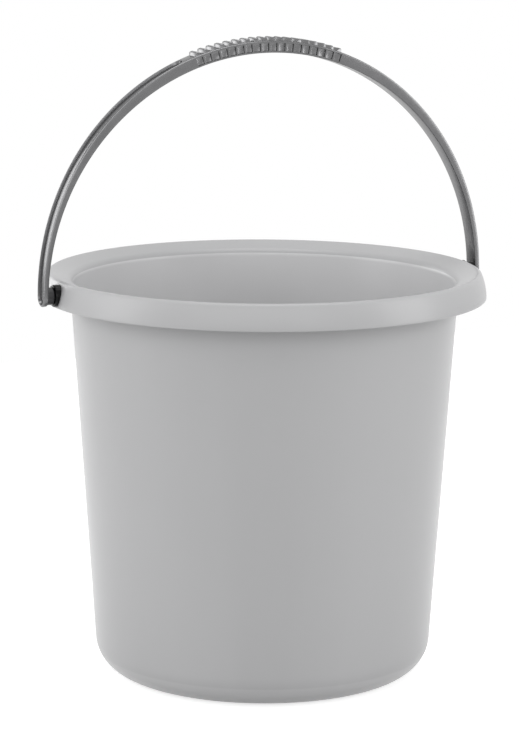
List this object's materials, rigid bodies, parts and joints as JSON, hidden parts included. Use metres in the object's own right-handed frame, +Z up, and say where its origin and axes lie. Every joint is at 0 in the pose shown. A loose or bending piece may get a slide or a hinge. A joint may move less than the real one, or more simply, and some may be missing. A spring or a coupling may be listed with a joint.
{
  "type": "household bucket",
  "caption": "Open tapered household bucket with a turned-down rim skirt and an upright half-ring bail of channel section with a toothed grip, hinged in bushes.",
  "frame": {"origin": "centre of the foot ring, on the surface that the bucket stands on", "axes": "+Z up along the bucket's axis; the bail's pivot axis runs along X; the picture looks along +Y, from about 24 degrees towards -X"},
  "size_m": [0.3034, 0.284, 0.41],
  "materials": {
    "bucket_grey": "satin moulded plastic, light neutral grey",
    "bush_black": "black moulded plastic with a slight sheen",
    "bail_metallised": "dark metallised plastic, glossy"
  },
  "bodies": {
    "bucket": {"bucket_body": "bucket_grey", "pivot_bush_left": "bush_black", "pivot_bush_right": "bush_black"},
    "bail": {"bail_handle": "bail_metallised"}
  },
  "joints": [
    {"name": "bail_swing", "type": "hinge", "parent": "bucket", "child": "bail", "pos_m": [0, 0, 0.2528], "axis": [1, 0, 0], "range_deg": [-123, 123]}
  ]
}
